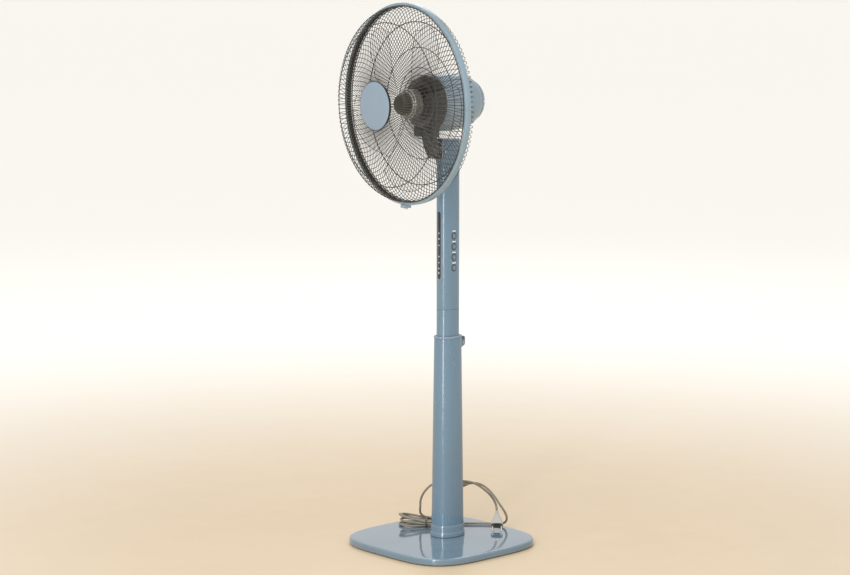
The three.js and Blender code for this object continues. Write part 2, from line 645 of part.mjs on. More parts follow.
makeBase();
makeLowerPole();
makeHeightLever();
makeMast();
makeControls();
makeSwivel();
makeNeck();
makeTiltBracket();
makeMotor();
makeGuards();
makeGuardClip();
makeRotor();
makeCord();

export default fan;
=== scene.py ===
# A pedestal fan: its looks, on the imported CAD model. +Z is up and the fan faces -Y.
# Dimensions are in millimetres, which MM turns into metres; places of the camera and lights are in metres.
import json
import math

import bmesh
import bpy
import numpy as np
from mathutils import Matrix, Vector


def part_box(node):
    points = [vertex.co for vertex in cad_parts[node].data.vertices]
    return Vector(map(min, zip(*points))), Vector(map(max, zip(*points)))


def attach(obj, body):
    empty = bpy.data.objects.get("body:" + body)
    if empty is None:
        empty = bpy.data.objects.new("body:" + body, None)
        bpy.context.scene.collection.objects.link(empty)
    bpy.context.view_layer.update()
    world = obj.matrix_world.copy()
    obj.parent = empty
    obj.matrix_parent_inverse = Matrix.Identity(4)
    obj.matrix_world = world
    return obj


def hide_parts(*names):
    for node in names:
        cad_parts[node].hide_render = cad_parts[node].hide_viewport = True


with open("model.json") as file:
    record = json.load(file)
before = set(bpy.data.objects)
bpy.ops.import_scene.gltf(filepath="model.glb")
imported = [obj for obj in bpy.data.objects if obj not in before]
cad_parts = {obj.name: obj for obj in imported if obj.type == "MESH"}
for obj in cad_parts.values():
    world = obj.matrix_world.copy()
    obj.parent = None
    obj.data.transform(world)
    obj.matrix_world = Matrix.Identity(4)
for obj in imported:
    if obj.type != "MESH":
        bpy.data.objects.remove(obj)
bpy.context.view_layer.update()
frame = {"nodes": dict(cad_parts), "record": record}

MM = 0.001

# ---------------------------------------------------------------- camera
CAMERA_PLACE = (4.150, -3.863, 1.427)
CAMERA_PITCH = -8.478  # degrees from level
CAMERA_TURN = 47.566  # degrees
CAMERA_LENS = 108.95

camera_data = bpy.data.cameras.new("camera")
camera_data.lens = CAMERA_LENS
camera_data.sensor_width = 36.0
camera_data.clip_end = 200.0
camera = bpy.data.objects.new("camera", camera_data)
camera.location = CAMERA_PLACE
camera.rotation_euler = (math.radians(90 + CAMERA_PITCH), 0, math.radians(CAMERA_TURN))
bpy.context.scene.collection.objects.link(camera)
bpy.context.scene.camera = camera

# ---------------------------------------------------------------- the object's dimensions, in millimetres
JOINTS = {joint["name"]: joint for joint in frame["record"]["behaviour"]["joints"]}
SPIN = JOINTS["fan_spin"]
HEAD_TURN = math.atan2(SPIN["axis"][0], -SPIN["axis"][1])
HEAD_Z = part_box("guard_ring")[0][2] / 2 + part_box("guard_ring")[1][2] / 2

OVAL_POWER = 2.3
POLE_FOOT, POLE_HEAD = (30.5, 38.5), (25.5, 32.5)
BASE_TOP, POLE_TOP = 18.0, 470.0
MAST = (20.0, 27.5)
SEAM, MAST_TOP = 534.5, 858.0
WALL, GAP = 2.5, 0.3
BASE_HALF, BASE_POWER, BASE_CENTRE_Y = 176.5, 3.8, -19.0
NECK_TOP = 914.4
TILT_Y, TILT_Z = -20.0, 888.0
RING_RADIUS, RING_REAR, RING_FRONT = 220.0, 109.5, 122.5
BUTTON_FIRST, BUTTON_PITCH, BUTTON_COUNT = 699.5, 23.75, 4
STRIP_LOW, STRIP_HIGH, STRIP_WIDTH = 604.0, 754.0, 10.0
FOOT_REACH = 118.0  # from the base's centre to each foot, both ways
SHAFT_HOLE = 6.3  # radius of the hole for the swivel shaft
BUTTON_CAP, BUTTON_HOLE = (4.6, 5.6), (5.8, 6.8)  # half widths and half heights
BEZEL_INSIDE, BEZEL_OUTSIDE = (5.1, 6.1), (7.3, 8.3)
LABEL_HALF = (4.8, 1.1)
MOTOR_SLOTS = 16


# ---------------------------------------------------------------- geometry helpers
def soften(points, radius, steps=4, loop=False):
    """Rounds the corners of a line of points."""
    line = [np.array(p, float) for p in points]
    count = len(line)
    out = []
    for i, p in enumerate(line):
        if not loop and i in (0, count - 1):
            out.append(p)
            continue
        before, after = line[i - 1], line[(i + 1) % count]
        share_a = min(radius / max(np.linalg.norm(before - p), 1e-9), 0.45)
        share_b = min(radius / max(np.linalg.norm(after - p), 1e-9), 0.45)
        start, end = p + (before - p) * share_a, p + (after - p) * share_b
        for t in np.linspace(0, 1, steps + 1):
            out.append((1 - t) ** 2 * start + 2 * t * (1 - t) * p + t * t * end)
    return np.array(out)


def spline(points, per=8):
    """A smooth line through points, with so many steps between each two."""
    p = np.array(points, float)
    p = np.vstack([2 * p[0] - p[1], p, 2 * p[-1] - p[-2]])
    out = []
    for i in range(1, len(p) - 2):
        for t in np.arange(per) / per:
            out.append(0.5 * (2 * p[i] + (p[i + 1] - p[i - 1]) * t
                              + (2 * p[i - 1] - 5 * p[i] + 4 * p[i + 1] - p[i + 2]) * t * t
                              + (3 * p[i] - p[i - 1] - 3 * p[i + 1] + p[i + 2]) * t ** 3))
    out.append(p[-2])
    return np.array(out)


def grid_faces(rows, count, loop):
    """Quads between closed rings of vertices that follow each other, as a loop or from first to last."""
    faces = []
    for k in range(rows if loop else rows - 1):
        a, b = k * count, ((k + 1) % rows) * count
        for i in range(count):
            j = (i + 1) % count
            faces.append((a + i, a + j, b + j, b + i))
    return faces


def lathe(profile, segments=96, loop=False, upright=False, ripple=None):
    """[radius, distance ahead] points turned round the fan's axis, or [radius, height] round +Z."""
    verts = []
    angles = np.arange(segments) / segments * 2 * math.pi
    for r, along in profile:
        radius = np.full(segments, r) if ripple is None else r + ripple(angles, r, along)
        if upright:
            ring = [radius * np.cos(angles), radius * np.sin(angles), np.full(segments, along)]
        else:
            ring = [radius * np.sin(angles), np.full(segments, -along), radius * np.cos(angles)]
        verts.append(np.stack(ring, 1))
    return np.vstack(verts), grid_faces(len(profile), segments, loop)


def oval_ring(a, b, z, y=0.0, power=OVAL_POWER, count=128):
    angle = np.arange(count) / count * 2 * math.pi
    c, s = np.cos(angle), np.sin(angle)
    x = a * np.sign(c) * np.abs(c) ** (2 / power)
    return np.stack([x, y + b * np.sign(s) * np.abs(s) ** (2 / power), np.full(count, z)], 1)


def loft(rings, loop=False, power=OVAL_POWER, count=128):
    """Rings of [half width, half depth, height, centre y] joined in order, with flat ends or as a loop."""
    verts = np.vstack([oval_ring(r[0], r[1], r[2], r[3] if len(r) > 3 else 0.0, power, count) for r in rings])
    faces = grid_faces(len(rings), count, loop)
    if not loop:
        faces.append(tuple(range(count)))
        faces.append(tuple(range((len(rings) - 1) * count, len(rings) * count)))
    return verts, faces


def sweep(line, radius, sides=8):
    """A round bar along a line. radius is one number or one for each point."""
    line = np.array(line, float)
    radii = np.broadcast_to(np.array(radius, float), (len(line),))
    tangent = np.gradient(line, axis=0)
    tangent /= np.linalg.norm(tangent, axis=1)[:, None]
    side = np.cross(tangent[0], [1.0, 0.0, 0.0])
    if np.linalg.norm(side) < 0.1:
        side = np.cross(tangent[0], [0.0, 0.0, 1.0])
    verts = []
    angles = np.arange(sides) / sides * 2 * math.pi
    for point, t, r in zip(line, tangent, radii):
        side = side - t * np.dot(side, t)
        side /= np.linalg.norm(side)
        other = np.cross(t, side)
        verts.append(point + r * (np.cos(angles)[:, None] * side + np.sin(angles)[:, None] * other))
    faces = grid_faces(len(line), sides, False)
    faces.append(tuple(range(sides)))
    faces.append(tuple(range((len(line) - 1) * sides, len(line) * sides)))
    return np.vstack(verts), faces


def prism(outline, low, high, place):
    """A flat outline of [u, v] points made thick from low to high; place turns (u, v, w) into a point."""
    count = len(outline)
    verts = [place(u, v, low) for u, v in outline] + [place(u, v, high) for u, v in outline]
    faces = grid_faces(2, count, False)
    faces.append(tuple(range(count)))
    faces.append(tuple(range(count, 2 * count)))
    return np.array(verts, float), faces


def across_x(u, v, w):
    """Places an outline of [y, z] points, thick along X."""
    return w, u, v


def across_y(u, v, w):
    """Places an outline of [x, z] points, thick along Y."""
    return u, w, v


def pill(half_width, half_height, steps=14):
    """An upright outline with straight sides and round ends."""
    straight = max(half_height - half_width, 0.0)
    points = []
    for centre, first in ((straight, 0.0), (-straight, math.pi)):
        for angle in np.linspace(first, first + math.pi, steps):
            points.append((half_width * math.cos(angle), centre + half_width * math.sin(angle)))
    return points


def rectangle(half_width, half_height):
    w, h = half_width, half_height
    return [(-w, -h), (w, -h), (w, h), (-w, h)]


def circle(u, v, radius, steps):
    return [(u + radius * math.cos(t), v + radius * math.sin(t))
            for t in np.linspace(0, 2 * math.pi, steps, endpoint=False)]


def block(low, high):
    """A box between two corners."""
    (x0, y0, z0), (x1, y1, z1) = low, high
    return prism([(x0, y0), (x1, y0), (x1, y1), (x0, y1)], z0, z1, lambda u, v, w: (u, v, w))


def merged(*parts):
    verts, faces, at = [], [], 0
    for v, f in parts:
        verts.append(v)
        faces += [tuple(i + at for i in face) for face in f]
        at += len(v)
    return np.vstack(verts), faces


def turned_about_axis(part, angle):
    """The part turned round the fan's axis, in the head's own frame."""
    v, f = part
    c, s = math.cos(angle), math.sin(angle)
    return np.stack([c * v[:, 0] + s * v[:, 2], v[:, 1], -s * v[:, 0] + c * v[:, 2]], 1), f


def in_head(part, on_axis=True):
    """From the head's own frame, where it faces -Y, to the object's."""
    v, f = part
    c, s = math.cos(HEAD_TURN), math.sin(HEAD_TURN)
    lift = HEAD_Z / MM if on_axis else 0.0
    return np.stack([c * v[:, 0] - s * v[:, 1], s * v[:, 0] + c * v[:, 1], v[:, 2] + lift], 1), f


def mesh_of(name, part):
    verts, faces = part
    mesh = bpy.data.meshes.new(name)
    mesh.from_pydata((verts * MM).tolist(), [], faces)
    work = bmesh.new()
    work.from_mesh(mesh)
    bmesh.ops.remove_doubles(work, verts=work.verts, dist=2e-6)
    bmesh.ops.dissolve_degenerate(work, dist=1e-6, edges=work.edges)
    bmesh.ops.recalc_face_normals(work, faces=work.faces)
    work.to_mesh(mesh)
    work.free()
    return mesh


def add(name, part):
    obj = bpy.data.objects.new(name, mesh_of(name, part))
    bpy.context.scene.collection.objects.link(obj)
    return obj


def applied(obj):
    """The object with its modifiers made part of its mesh."""
    graph = bpy.context.evaluated_depsgraph_get()
    mesh = bpy.data.meshes.new_from_object(obj.evaluated_get(graph))
    old = obj.data
    obj.modifiers.clear()
    obj.data = mesh
    bpy.data.meshes.remove(old)
    return obj


def carve(obj, parts, operation="DIFFERENCE"):
    """The object less the parts, or only what they share with it."""
    tools = []
    for i, part in enumerate(parts):
        tool = add(f"tool_{i}", part)
        tools.append(tool)
        modifier = obj.modifiers.new("carve", "BOOLEAN")
        modifier.operation = operation
        modifier.solver = "EXACT"
        modifier.object = tool
    applied(obj)
    for tool in tools:
        mesh = tool.data
        bpy.data.objects.remove(tool)
        bpy.data.meshes.remove(mesh)
    return obj


def bevelled(obj, width, segments=3, angle=35):
    modifier = obj.modifiers.new("bevel", "BEVEL")
    modifier.width = width * MM
    modifier.segments = segments
    modifier.limit_method = "ANGLE"
    modifier.angle_limit = math.radians(angle)
    return applied(obj)


def finish_piece(obj, material, body, stands_for=(), sharp=38):
    """Gives a piece its shading, its material and its body, and hides the CAD nodes it stands for."""
    if obj.type == "MESH":
        obj.data.shade_smooth()
        obj.data.set_sharp_from_angle(angle=math.radians(sharp))
    obj.data.materials.clear()
    obj.data.materials.append(material)
    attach(obj, body)
    if stands_for:
        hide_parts(*stands_for)
    return obj


# ---------------------------------------------------------------- materials
def srgb(*values):
    """A colour given as 0 to 255, in linear light."""
    return tuple((v / 255 / 12.92) if v / 255 <= 0.04045 else ((v / 255 + 0.055) / 1.055) ** 2.4
                 for v in values)


def surface(name, colour, rough, metallic=0.0, spread=0.05, rough_spread=0.05, grain=900.0, bump=0.12,
            wear=0.0, streak=(1, 1, 1), coat=0.0, patch=9.0, alpha=1.0, ior=1.48, transmission=0.0):
    """A moulded or metal surface: mottled colour, uneven gloss, fine grain and slightly rubbed edges."""
    material = bpy.data.materials.new(name)
    material.use_nodes = True
    tree = material.node_tree
    nodes, links = tree.nodes, tree.links
    shader = nodes["Principled BSDF"]
    shader.inputs["Metallic"].default_value = metallic
    shader.inputs["IOR"].default_value = ior
    shader.inputs["Coat Weight"].default_value = coat
    shader.inputs["Coat Roughness"].default_value = 0.04
    shader.inputs["Transmission Weight"].default_value = transmission
    shader.inputs["Alpha"].default_value = alpha
    coords = nodes.new("ShaderNodeTexCoord")
    mapping = nodes.new("ShaderNodeMapping")
    mapping.inputs["Scale"].default_value = streak
    links.new(coords.outputs["Object"], mapping.inputs["Vector"])

    def noise(scale, detail, rougher=0.55):
        node = nodes.new("ShaderNodeTexNoise")
        node.inputs["Scale"].default_value = scale
        node.inputs["Detail"].default_value = detail
        node.inputs["Roughness"].default_value = rougher
        links.new(mapping.outputs["Vector"], node.inputs["Vector"])
        return node

    def ramp(source, low, high, to_low, to_high):
        node = nodes.new("ShaderNodeMapRange")
        node.inputs["From Min"].default_value = low
        node.inputs["From Max"].default_value = high
        node.inputs["To Min"].default_value = to_low
        node.inputs["To Max"].default_value = to_high
        links.new(source, node.inputs["Value"])
        return node.outputs["Result"]

    def blend_colours(factor, first, second):
        node = nodes.new("ShaderNodeMix")
        node.data_type = "RGBA"
        links.new(factor, node.inputs["Factor"])
        for socket, value in ((node.inputs[6], first), (node.inputs[7], second)):
            if isinstance(value, tuple):
                socket.default_value = (*value, 1)
            else:
                links.new(value, socket)
        return node.outputs[2]

    cloudy = noise(patch, 4)
    darker = tuple(c * (1 - spread) for c in colour)
    lighter = tuple(min(c * (1 + spread), 1) for c in colour)
    mottled = blend_colours(ramp(cloudy.outputs["Fac"], 0.35, 0.65, 0, 1), darker, lighter)
    if wear:
        geometry = nodes.new("ShaderNodeNewGeometry")
        edge = ramp(geometry.outputs["Pointiness"], 0.52, 0.6, 0, wear)
        rubbed = tuple(min(c * 1.5 + 0.04, 1) for c in colour)
        mottled = blend_colours(edge, mottled, rubbed)
    links.new(mottled, shader.inputs["Base Color"])
    smudge = noise(patch * 6, 5, 0.6)
    low, high = max(rough - rough_spread, 0.02), min(rough + rough_spread, 1)
    links.new(ramp(smudge.outputs["Fac"], 0.3, 0.7, low, high), shader.inputs["Roughness"])
    fine = noise(grain, 2)
    bumps = nodes.new("ShaderNodeBump")
    bumps.inputs["Strength"].default_value = bump
    bumps.inputs["Distance"].default_value = 0.0004
    links.new(fine.outputs["Fac"], bumps.inputs["Height"])
    links.new(bumps.outputs["Normal"], shader.inputs["Normal"])
    return material


BLUE_GREY = srgb(98, 124, 143)
SHELL = surface("shell_plastic_pole", BLUE_GREY, 0.24, spread=0.04, wear=0.12, coat=0.35, streak=(1, 1, 0.25))
SHELL_GLOSS = surface("shell_plastic_base", srgb(104, 126, 142), 0.1, spread=0.04, rough_spread=0.035,
                      bump=0.04, coat=0.7, wear=0.1, grain=500.0)
SHELL_HEAD = surface("shell_plastic_head", srgb(128, 147, 159), 0.3, spread=0.04, wear=0.12, grain=1400.0)
SHELL_BADGE = surface("shell_plastic_badge", srgb(124, 141, 156), 0.34, spread=0.03, bump=0.2, grain=2600.0)
DARK = surface("dark_plastic", srgb(38, 37, 34), 0.42, spread=0.12, rough_spread=0.1, bump=0.2, wear=0.18)
DARK_MATT = surface("dark_plastic_matt", srgb(58, 56, 50), 0.5, spread=0.12, bump=0.25, wear=0.2)
WINDOW = surface("window_plastic", srgb(16, 20, 26), 0.08, spread=0.2, rough_spread=0.03, bump=0.02, coat=0.6)
WIRE = surface("guard_wire", srgb(74, 72, 68), 0.36, metallic=0.55, spread=0.14, rough_spread=0.1, patch=40.0)
WIRE_REAR = surface("guard_wire_rear", srgb(72, 70, 66), 0.38, metallic=0.55, spread=0.14, rough_spread=0.1,
                    patch=40.0)
STEEL = surface("steel", srgb(176, 178, 180), 0.28, metallic=1.0, spread=0.06, rough_spread=0.1,
                streak=(1, 1, 6), bump=0.1)
PIN_METAL = surface("pin_metal", srgb(214, 208, 198), 0.22, metallic=0.9, spread=0.05, rough_spread=0.08)
IRON = surface("iron", srgb(72, 74, 76), 0.62, metallic=0.8, spread=0.25, rough_spread=0.15, bump=0.5,
               patch=30.0, grain=600.0)
RUBBER = surface("rubber", srgb(30, 30, 30), 0.85, spread=0.2, bump=0.4, grain=1600.0)
BLADE = surface("blade_plastic", srgb(120, 122, 122), 0.12, spread=0.06, rough_spread=0.04, alpha=0.07,
                bump=0.03)
HUB_SMOKE = surface("hub_plastic", srgb(118, 116, 110), 0.16, spread=0.06, rough_spread=0.04, alpha=0.55,
                    bump=0.03)
BLADE_EDGE = surface("blade_edge", srgb(52, 52, 50), 0.2, spread=0.1, alpha=0.75)
CORD = surface("cord_plastic", srgb(132, 124, 110), 0.5, spread=0.08, rough_spread=0.1, bump=0.3,
               patch=60.0, grain=1500.0)
PALE = surface("pale_plastic", srgb(168, 168, 163), 0.4, spread=0.05, rough_spread=0.08, bump=0.15, wear=0.15)
PRINT = surface("pale_print", srgb(226, 228, 228), 0.5, spread=0.03, bump=0.05)
LAMP = surface("lamp_mark", srgb(188, 196, 200), 0.3, spread=0.05, bump=0.05)
LAMP_BRIGHT = surface("lamp_mark_bright", srgb(236, 238, 236), 0.3, spread=0.02, bump=0.05)
BOARD = surface("circuit_board", srgb(40, 92, 62), 0.5, spread=0.25, rough_spread=0.15, patch=200.0, bump=0.3)

CAD_FINISHES = {
    IRON: ["base_weight", "motor_stator", "motor_rotor", "bearing_holder"],
    STEEL: ["pole_bolt", "pole_nut", "lever_pin", "swivel_shaft", "swivel_ring", "tilt_pin", "front_bearing",
            "rear_bearing", "guard_clip_screw", "motor_shaft"],
    PALE: ["board_bracket", "oscillation_motor"],
    BOARD: ["control_board", "lamp_board"],
}
for finish, names in CAD_FINISHES.items():
    for node_name in names:
        for holder in frame["nodes"][node_name].material_slots:
            holder.material = finish

# ---------------------------------------------------------------- the mains lead
CORD_DIAMETER = 5.0
LIE = math.radians(46.5)
HANK_X, HANK_Y, HANK_STRAIGHT = -105.1, 17.1, 30.0
TAIL_ROUTE = [
    (0, 61.3, 125), (0, 71.8, 125), (0, 85.6, 123.5), (3, 101.9, 118), (10.4, 117, 106), (20, 128.6, 88),
    (29, 136.5, 69.5), (35, 144.5, 55), (37.2, 150.5, 41), (33, 153.2, 29.5), (23.5, 152, 22.3),
    (11.5, 145.5, 20.4), (0, 136, 20.2), (-11, 125.5, 20.3), (-22.6, 113, 20.5), (-34.8, 98.4, 20.6),
]
LEAD_ROUTE = [
    (-106.5, 14.2, 62), (-103.6, 11.4, 76), (-95.1, 10.2, 92), (-80.9, 10.6, 108), (-64.7, 13.2, 121),
    (-47.2, 18.6, 128.5), (-30.8, 26.4, 132), (-16, 37.2, 132.8), (-3.1, 51.2, 132.4), (4.9, 68.4, 129),
    (9, 87.9, 119), (10.6, 108.5, 104), (9.6, 125, 90.5), (9.4, 136.6, 77), (11.6, 141.6, 64),
    (17, 138.3, 51.8),
]
# The turns' side distance and height, turn after turn: out and in on each layer.
LAYERS = [(21.2, 20.7), (16.2, 20.7), (16.2, 25.8), (21.2, 25.8), (21.2, 30.9), (16.2, 30.9)]
TURNS = 5
TURN_STEP = 0.05
# In the hank's own frame: from the tail to its first turn, and from its last turn up to the lead.
HANK_ENTRY = [(86, 6.4, 20.4), (68, 10.4, 20.4), (49, 15.6, 20.4)]
HANK_EXIT = [(20, 16.0, 31.1), (9, 14.4, 33.4), (-0.5, 11.0, 39.0), (-4.5, 5.8, 48.5)]
SMOOTHING_PASSES = 16
POINT_STEP = 2.2  # between points of the finished line


def hank_point(x, y, z):
    """From the hank's own frame to the object's."""
    c, s = math.cos(LIE), math.sin(LIE)
    return (HANK_X + c * x - s * y, HANK_Y + s * x + c * y, z)


def track(turn):
    """Where the cord is after so many turns of the hank, in the hank's own frame."""
    side, height = LAYERS[0]
    for k in range(1, len(LAYERS)):
        t = np.clip((turn - (0.62 + 0.89 * (k - 1))) / 0.24 + 0.5, 0, 1)
        ease = t * t * (3 - 2 * t)
        side += (LAYERS[k][0] - LAYERS[k - 1][0]) * ease
        height += (LAYERS[k][1] - LAYERS[k - 1][1]) * ease
    part = (turn % 1) * 4
    run = HANK_STRAIGHT
    if part < 1:
        x, y = run - 2 * run * part, side
    elif part < 2:
        angle = math.pi / 2 + (part - 1) * math.pi
        x, y = -run + side * math.cos(angle), side * math.sin(angle)
    elif part < 3:
        x, y = -run + 2 * run * (part - 2), -side
    else:
        angle = -math.pi / 2 + (part - 3) * math.pi
        x, y = run + side * math.cos(angle), side * math.sin(angle)
    # Past the tie the turns spring apart, more towards the far end.
    spread = min(max((8 - x) / 60, 0), 1)
    lean = 1.4 * math.sin(2.1 * turn + 0.8) * spread
    return x, y + lean, LAYERS[0][1] + (height - LAYERS[0][1]) * (1 + 1.3 * spread)


def cord_line():
    """The whole lead as one line of even points, and its length."""
    line = list(TAIL_ROUTE)
    line += [hank_point(*p) for p in HANK_ENTRY]
    line += [hank_point(*track(turn)) for turn in np.arange(0, TURNS + TURN_STEP / 5, TURN_STEP)]
    line += [hank_point(*p) for p in HANK_EXIT]
    line += LEAD_ROUTE
    fine = spline(line, 8)
    for _ in range(SMOOTHING_PASSES):
        fine[1:-1] += 0.5 * ((fine[:-2] + fine[2:]) / 2 - fine[1:-1])
    steps = np.concatenate([[0], np.cumsum(np.linalg.norm(np.diff(fine, axis=0), axis=1))])
    at = np.linspace(0, steps[-1], int(steps[-1] / POINT_STEP))
    return np.stack([np.interp(at, steps, fine[:, i]) for i in range(3)], 1), steps[-1]


CORD_LINE, CORD_LENGTH = cord_line()
curve = bpy.data.curves.new("mains_lead", "CURVE")
curve.dimensions = "3D"
curve.bevel_depth = CORD_DIAMETER / 2 * MM
curve.bevel_resolution = 3
curve.use_fill_caps = True
strand = curve.splines.new("POLY")
strand.points.add(len(CORD_LINE) - 1)
for point, place in zip(strand.points, CORD_LINE):
    point.co = (*(place * MM), 1)
mains_lead = bpy.data.objects.new("mains_lead", curve)
bpy.context.scene.collection.objects.link(mains_lead)
finish_piece(mains_lead, CORD, "base", ("cord_tail", "cord_hank", "cord_lead"))

GLAND_Z = 125.0
gland_profile = [(0, 34.5), (7.4, 34.5), (7.4, 37.6)]
for rib in range(6):
    at = 38.6 + rib * 3.6
    wide = 6.1 - rib * 0.42
    gland_profile += [(wide, at), (wide, at + 2.3), (wide - 0.9, at + 2.5), (wide - 0.9, at + 3.4)]
gland_profile += [(3.1, 61.0), (0, 61.0)]
gland_part = lathe([(r, -y) for r, y in soften(gland_profile, 0.35, 2)], 48)
gland_part = (gland_part[0] + np.array([0, 0, GLAND_Z]), gland_part[1])
gland = finish_piece(add("strain_relief", gland_part), CORD, "base", ("cord_gland",))

half_y, low_z, high_z = 24.6, 17.7, 34.4
tie_loop = soften([(-half_y, low_z), (half_y, low_z), (half_y, high_z), (-half_y, high_z)], 5.5, 6, loop=True)
middle_z = (low_z + high_z) / 2
inner_loop = np.array([(y * (1 - 0.9 / half_y), middle_z + (z - middle_z) * (1 - 0.9 / (high_z - middle_z)))
                       for y, z in tie_loop])
count = len(tie_loop)
tie_verts = []
for x, loop_points in ((8.0, tie_loop), (13.0, tie_loop), (13.0, inner_loop), (8.0, inner_loop)):
    tie_verts += [hank_point(x, y, z) for y, z in loop_points]
tie_obj = add("hank_tie", (np.array(tie_verts), grid_faces(4, count, True)))
finish_piece(tie_obj, DARK_MATT, "base", ("cord_tie",))

PLUG_X, PLUG_Y, PLUG_Z, PLUG_TILT, PLUG_PIN = 60.4, 97.0, 19.7, math.radians(28), 19.0
plug_matrix = (Matrix.Translation((PLUG_X, PLUG_Y, PLUG_Z)) @ Matrix.Rotation(LIE, 4, "Z")
               @ Matrix.Rotation(PLUG_TILT, 4, "X") @ Matrix.Rotation(-math.pi / 2, 4, "X"))


def in_plug(part):
    """From the plug's own frame, standing on its pins, to the object's."""
    rotation = np.array(plug_matrix)[:3]
    return part[0] @ rotation[:, :3].T + rotation[:, 3], part[1]


def plug_rings():
    face = PLUG_PIN
    stations = spline([(13.4, 6.9, face + 1.6), (13.4, 6.9, face + 8), (12.3, 6.8, face + 14),
                       (9.2, 6.5, face + 25), (7.2, 5.9, face + 31), (6.1, 5.3, face + 34)], 5)
    rings = [(12.4, 6.0, face + 1.6)] + [tuple(s) for s in stations]
    for rib in range(4):
        at = face + 34.6 + rib * 3.3
        wide, deep = 5.6 - rib * 0.55, 5.0 - rib * 0.42
        rings += [(wide, deep, at), (wide, deep, at + 2.0), (wide - 0.8, deep - 0.8, at + 2.2),
                  (wide - 0.8, deep - 0.8, at + 3.0)]
    rings.append((2.9, 2.9, face + 48))
    return rings


plug_body = add("plug_shell", in_plug(loft(plug_rings(), power=3.0, count=72)))
finish_piece(plug_body, PALE, "base", ("plug_body",))
plug_face = add("plug_face", in_plug(loft(soften([(11.4, 5.2, PLUG_PIN), (13.2, 6.7, PLUG_PIN),
                                                  (13.2, 6.7, PLUG_PIN + 1.6), (11.4, 5.2, PLUG_PIN + 1.6)],
                                                 0.5, 3), power=3.0, count=72)))
finish_piece(plug_face, DARK_MATT, "base")
for i, x in enumerate((-9.5, 9.5)):
    profile = soften([(0, 0.05), (1.2, 0.05), (2.0, 1.0), (2.0, 20.5), (0, 20.5)], 0.6, 3)
    part = lathe(profile, 40, upright=True)
    part = in_plug((part[0] + np.array([x, 0, 0]), part[1]))
    pin = add(f"contact_pin_{i + 1}", part)
    finish_piece(pin, PIN_METAL, "base", (f"plug_pin_{i + 1}",))


# ---------------------------------------------------------------- base and lower pole
def base_ring(shrink, z):
    return (BASE_HALF - shrink, BASE_HALF - shrink, z, BASE_CENTRE_Y)


def dome(shrink):
    return 16.3 + 1.7 * (1 - ((BASE_HALF - shrink) / BASE_HALF) ** 2.2)


base_rings = [base_ring(60, 11.0)]
base_rings += [tuple(p) for p in soften([base_ring(4, 11.0), base_ring(4, 2.0), base_ring(0, 2.0),
                                         base_ring(0, 12.8), base_ring(0.9, 15.0), base_ring(3.4, 16.2),
                                         base_ring(9, dome(9))], 1.6, 4)]
base_rings += [base_ring(s, dome(s)) for s in np.linspace(16, 150, 24)]
base_part = loft(base_rings, power=BASE_POWER, count=320)
finish_piece(add("base_shell", base_part), SHELL_GLOSS, "base", ("base_cover",), sharp=50)

feet_at = [(sx * FOOT_REACH, BASE_CENTRE_Y + sy * FOOT_REACH) for sx in (-1, 1) for sy in (-1, 1)]
for number, (x, y) in enumerate(feet_at):
    profile = soften([(0, 0.5), (7, 0.5), (8, 0), (10.6, 0), (12, 1.1), (12, 2.7), (0, 2.7)], 0.5, 3)
    part = lathe(profile, 64, upright=True)
    foot = add(f"foot_{number + 1}", (part[0] + np.array([x, y, 0]), part[1]))
    finish_piece(foot, RUBBER, "base", (f"base_foot_{number + 1}",))


def pole_at(z, grow=0.0):
    t = (z - BASE_TOP) / (POLE_TOP - BASE_TOP)
    return (POLE_FOOT[0] + (POLE_HEAD[0] - POLE_FOOT[0]) * t + grow,
            POLE_FOOT[1] + (POLE_HEAD[1] - POLE_FOOT[1]) * t + grow, z)


LEVER_Y, LEVER_Z, LEVER_HALF = 38.5, 455.0, 7.0
pole_rings = soften([pole_at(18.3), pole_at(240), pole_at(POLE_TOP), pole_at(POLE_TOP, -WALL),
                     pole_at(240, -WALL), pole_at(18.3, -WALL)], 0.8, 3, loop=True)
pole = carve(add("lower_pole_shell", loft(pole_rings, loop=True, count=160)),
             [block((-4, 20, LEVER_Z + 0.5), (4, 40, LEVER_Z + 11))])
finish_piece(pole, SHELL, "base", ("lower_pole",))

collar_rings = soften([pole_at(18.5, 0.35), pole_at(18.5, 2.4), pole_at(25, 2.4), pole_at(27.2, 2.2),
                       pole_at(28.6, 1.5), pole_at(42, 1.5), pole_at(45.4, 0.9), pole_at(45.4, 0.35)],
                      1.4, 4, loop=True)
finish_piece(add("pole_collar_shell", loft(collar_rings, loop=True, count=160)), SHELL_GLOSS, "base",
             ("pole_collar",))

rim = pole_at(POLE_TOP)
bush_rings = soften([
    (20.5, 28.0, 456), (rim[0] - 2.8, rim[1] - 2.8, 456), (rim[0] - 2.8, rim[1] - 2.8, 470.3),
    (rim[0] + 1.0, rim[1] + 1.0, 470.3), (rim[0] + 1.0, rim[1] + 1.0, 473),
    (rim[0] - 0.5, rim[1] - 0.5, 474.6), (20.5, 28.0, 474.6),
], 0.7, 3, loop=True)
bush = carve(add("pole_bush_shell", loft(bush_rings, loop=True, count=160)),
             [block((-4, 10, POLE_TOP - 15), (4, 40, POLE_TOP - 3))])
finish_piece(bush, SHELL_BADGE, "base", ("pole_bush",))

